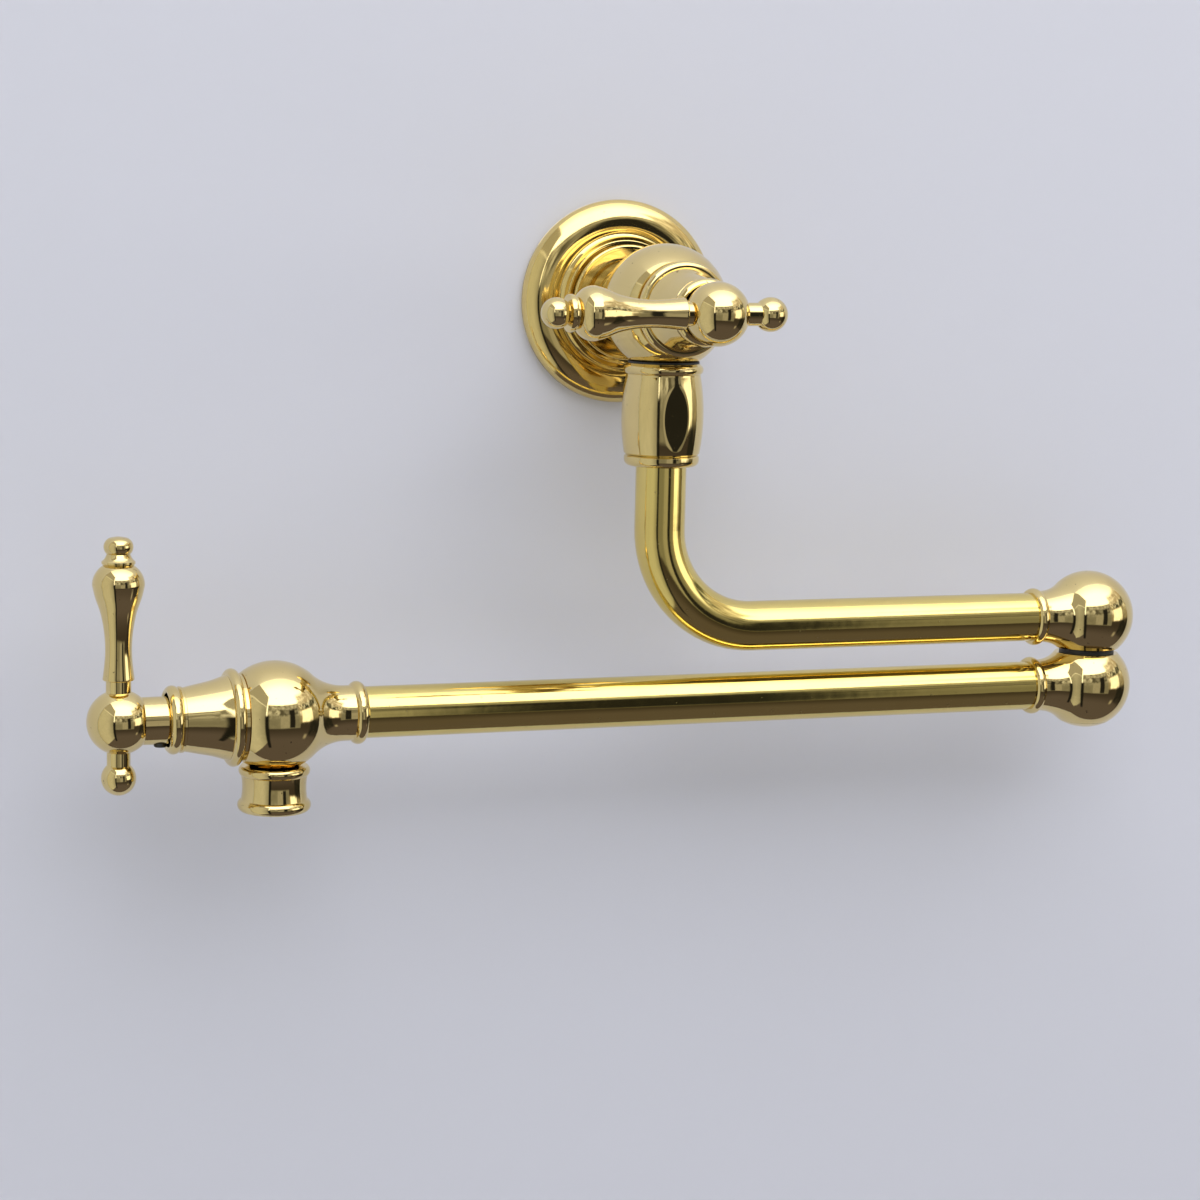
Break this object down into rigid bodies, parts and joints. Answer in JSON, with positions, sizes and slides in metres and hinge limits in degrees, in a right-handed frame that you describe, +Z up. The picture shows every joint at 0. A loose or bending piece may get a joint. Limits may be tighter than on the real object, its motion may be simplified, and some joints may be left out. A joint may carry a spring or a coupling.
{
  "type": "wall mounted pot filler",
  "caption": "Polished brass wall mounted pot filler with ball shaped lever valves and two folding tube arms joined by a stacked bulb elbow.",
  "frame": {"origin": "centre of the wall flange's back, on the wall face and on the inlet's axis", "axes": "+X along the wall toward the elbow, +Y into the wall, +Z up"},
  "size_m": [0.4175, 0.1314, 0.2229],
  "materials": {
    "tube_brass": "polished",
    "turned_brass": "polished",
    "flange_brass": "polished",
    "inner_brass": "machined",
    "steel": "brushed",
    "disc_ceramic": "lapped",
    "seal_rubber": "matte",
    "glide_plastic": "matte",
    "aerator_plastic": "matte"
  },
  "bodies": {
    "wall_valve": {"wall_flange": "flange_brass", "flange_lock_ring": "flange_brass", "inlet_nipple": "inner_brass", "wall_valve_body": "turned_brass", "wall_bonnet": "turned_brass", "wall_bonnet_seal": "seal_rubber", "wall_cartridge": "inner_brass", "wall_seat_seal": "seal_rubber", "wall_fixed_disc": "disc_ceramic", "coupling_washer": "glide_plastic", "coupling_nut": "turned_brass", "coupling_thrust_washer": "glide_plastic", "coupling_glide_ring": "glide_plastic"},
    "wall_handle": {"wall_hub": "turned_brass", "wall_lever": "turned_brass", "wall_counter_knob": "turned_brass", "wall_set_screw": "steel", "wall_spindle": "inner_brass", "wall_spindle_o_ring": "seal_rubber", "wall_moving_disc": "disc_ceramic"},
    "first_arm": {"arm_swivel_sleeve": "inner_brass", "sleeve_o_rings": "seal_rubber", "arm_collar": "turned_brass", "first_arm_tube": "tube_brass", "elbow_upper_fitting": "turned_brass", "elbow_spindle": "inner_brass", "elbow_o_rings": "seal_rubber", "elbow_washer": "glide_plastic", "elbow_retaining_washer": "glide_plastic", "elbow_retaining_nut": "inner_brass"},
    "second_arm": {"elbow_lower_fitting": "turned_brass", "elbow_plug": "turned_brass", "elbow_plug_seal": "seal_rubber", "second_arm_tube": "tube_brass", "outlet_valve_body": "turned_brass", "outlet_bonnet": "turned_brass", "outlet_bonnet_seal": "seal_rubber", "outlet_cartridge": "inner_brass", "outlet_seat_seal": "seal_rubber", "outlet_fixed_disc": "disc_ceramic", "spout_nozzle": "turned_brass", "aerator_insert": "aerator_plastic", "aerator_screens": "steel", "aerator_washer": "seal_rubber"},
    "outlet_handle": {"outlet_hub": "turned_brass", "outlet_lever": "turned_brass", "outlet_counter_knob": "turned_brass", "outlet_set_screw": "steel", "outlet_spindle": "inner_brass", "outlet_spindle_o_ring": "seal_rubber", "outlet_moving_disc": "disc_ceramic"}
  },
  "joints": [
    {"name": "wall_valve_turn", "type": "hinge", "parent": "wall_valve", "child": "wall_handle", "pos_m": [0, -0.105, 0], "axis": [0, -1, 0], "range_deg": [0, 90]},
    {"name": "arm_swivel", "type": "hinge", "parent": "wall_valve", "child": "first_arm", "pos_m": [0, -0.0525, -0.045], "axis": [0, 0, -1], "range_deg": [0, 180]},
    {"name": "elbow_swivel", "type": "hinge", "parent": "first_arm", "child": "second_arm", "pos_m": [0.184, -0.0525, -0.1348], "axis": [0, 0, 1], "continuous": true},
    {"name": "outlet_valve_turn", "type": "hinge", "parent": "second_arm", "child": "outlet_handle", "pos_m": [-0.2043, -0.0525, -0.1485], "axis": [1, 0, 0], "range_deg": [0, 90]}
  ]
}
